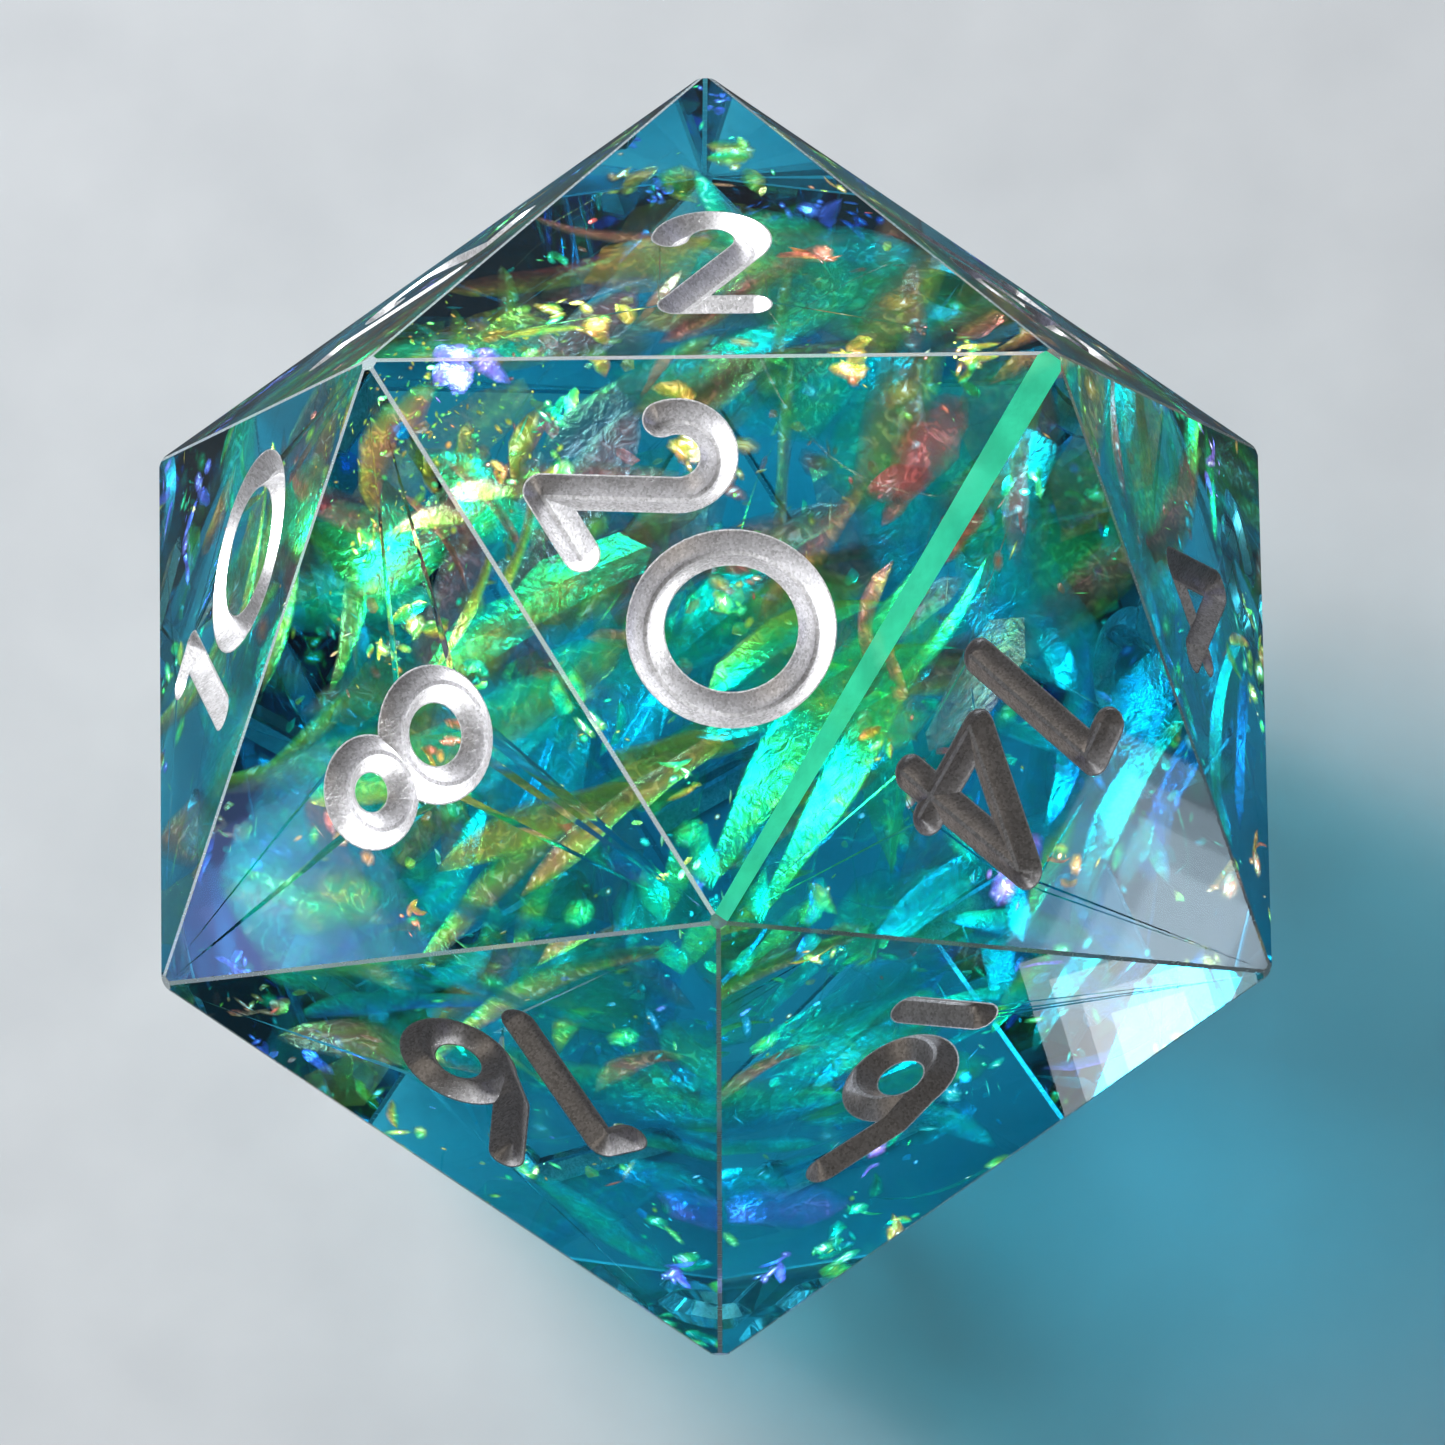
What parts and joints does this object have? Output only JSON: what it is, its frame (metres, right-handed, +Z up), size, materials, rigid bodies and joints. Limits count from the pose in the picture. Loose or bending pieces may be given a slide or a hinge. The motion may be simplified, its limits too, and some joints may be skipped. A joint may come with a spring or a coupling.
{
  "type": "polyhedral die",
  "caption": "Sharp-edged polyhedral die (icosahedron) cast in clear teal resin, with iridescent film shards inside and silver engraved numerals.",
  "frame": {"origin": "on the resting face (the one engraved with 1), under the die's centre", "axes": "+Z up, out of the face engraved with 20; +Y towards the corner shared by the faces 2, 12, 18, 5 and 15; X across, along the edge between the faces 20 and 2"},
  "size_m": [0.0214, 0.0246, 0.02],
  "materials": {
    "resin": "gloss",
    "numeral_paint": "satin",
    "film_copper": "gloss",
    "film_gold": "gloss",
    "film_green": "gloss",
    "film_blue": "gloss"
  },
  "bodies": {
    "root": {"resin_body": "resin", "number_paint_01": "numeral_paint", "number_paint_02": "numeral_paint", "number_paint_03": "numeral_paint", "number_paint_04": "numeral_paint", "number_paint_05": "numeral_paint", "number_paint_06": "numeral_paint", "number_paint_07": "numeral_paint", "number_paint_08": "numeral_paint", "number_paint_09": "numeral_paint", "number_paint_10": "numeral_paint", "number_paint_11": "numeral_paint", "number_paint_12": "numeral_paint", "number_paint_13": "numeral_paint", "number_paint_14": "numeral_paint", "number_paint_15": "numeral_paint", "number_paint_16": "numeral_paint", "number_paint_17": "numeral_paint", "number_paint_18": "numeral_paint", "number_paint_19": "numeral_paint", "number_paint_20": "numeral_paint", "film_shard_01": "film_green", "film_shard_02": "film_copper", "film_shard_03": "film_gold", "film_shard_04": "film_gold", "film_shard_05": "film_gold", "film_shard_06": "film_green", "film_shard_07": "film_blue", "film_shard_08": "film_blue", "film_shard_09": "film_green", "film_shard_10": "film_copper", "film_shard_11": "film_gold", "film_shard_12": "film_gold", "film_shard_13": "film_blue", "film_shard_14": "film_copper", "film_shard_15": "film_copper", "film_shard_16": "film_copper", "film_shard_17": "film_copper", "film_shard_18": "film_gold", "film_shard_19": "film_gold", "film_shard_20": "film_blue", "film_shard_21": "film_blue", "film_shard_22": "film_green", "film_shard_23": "film_copper", "film_shard_24": "film_copper", "film_shard_25": "film_gold", "film_shard_26": "film_blue", "film_shard_27": "film_green", "film_shard_28": "film_blue", "film_shard_29": "film_copper", "film_shard_30": "film_copper", "film_shard_31": "film_gold", "film_shard_32": "film_gold", "film_shard_33": "film_blue", "film_shard_34": "film_blue", "film_shard_35": "film_copper", "film_shard_36": "film_copper", "film_shard_37": "film_copper", "film_shard_38": "film_gold", "film_shard_39": "film_blue"}
  },
  "joints": []
}
